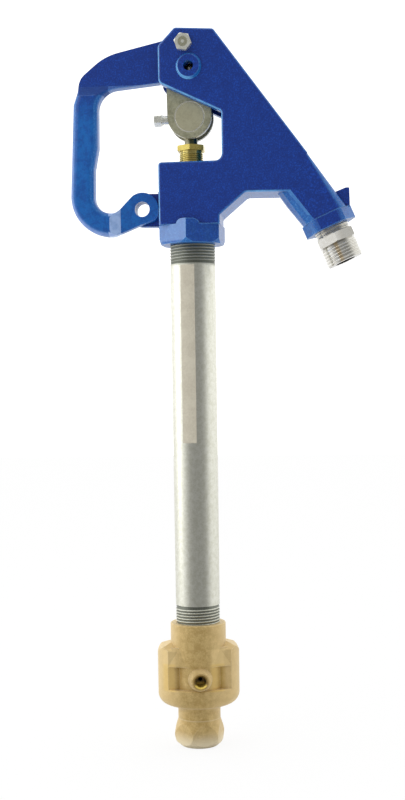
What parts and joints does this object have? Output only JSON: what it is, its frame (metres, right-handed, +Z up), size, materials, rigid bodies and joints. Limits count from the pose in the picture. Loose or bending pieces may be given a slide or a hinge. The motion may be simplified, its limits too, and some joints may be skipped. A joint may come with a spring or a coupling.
{
  "type": "yard hydrant",
  "caption": "Frost-proof yard hydrant: blue lever head with toggle linkage and hose spout, galvanised standpipe, rod and plunger, and a brass foot valve with a drain port.",
  "frame": {"origin": "centre of the foot valve's inlet mouth, on the standpipe's axis", "axes": "+Z up the standpipe, +X towards the hose spout, +Y away from the side that shows the pivot bolt's head; the lever hangs on the -X side"},
  "size_m": [0.2137, 0.0546, 0.529],
  "materials": {
    "blue_casting": "glossy blue enamel over a sand casting",
    "galvanised_steel": "galvanised",
    "cream_paper": "matt printed-blank adhesive strip",
    "cast_brass": "rough as cast",
    "machined_brass": "turned",
    "nickel_plate": "satin nickel plate",
    "zinc_steel": "bright zinc plate",
    "olive_plate": "olive chromate plate",
    "connector_steel": "machined, chromate plate",
    "rod_steel": "drawn stainless",
    "graphite_packing": "braided graphite yarn",
    "black_rubber": "matt"
  },
  "bodies": {
    "body": {"head_casting": "blue_casting", "packing_nut": "machined_brass", "packing_follower": "machined_brass", "packing_rings": "graphite_packing", "hose_nipple": "nickel_plate", "standpipe": "galvanised_steel", "pipe_label": "cream_paper", "valve_body": "cast_brass", "pivot_bolt": "zinc_steel", "pivot_nut": "zinc_steel"},
    "lever": {"lever": "blue_casting", "link_pin": "zinc_steel"},
    "rod": {"rod_connector": "connector_steel", "clamp_screw": "zinc_steel", "operating_rod": "rod_steel", "plunger_body": "machined_brass", "seat_seal": "black_rubber", "seal_screw": "zinc_steel", "plunger_rings": "black_rubber"},
    "link": {"link_plate_front": "olive_plate", "link_plate_rear": "olive_plate"}
  },
  "joints": [
    {"name": "lever_pivot", "type": "hinge", "parent": "body", "child": "lever", "pos_m": [-0.0027, 0, 0.5178], "axis": [0, 1, 0], "range_deg": [0, 90]},
    {"name": "rod_lift", "type": "slide", "parent": "body", "child": "rod", "axis": [0, 0, 1], "range_m": [0, 0.0184]},
    {"name": "link_swing", "type": "hinge", "parent": "rod", "child": "link", "pos_m": [0, 0, 0.4682], "axis": [0, 1, 0], "range_deg": [-36, 0]}
  ],
  "couplings": [
    {"joint": "rod_lift", "follows": "lever_pivot", "m_per_rad": 0.011713},
    {"joint": "link_swing", "follows": "lever_pivot", "ratio": -0.39999}
  ]
}
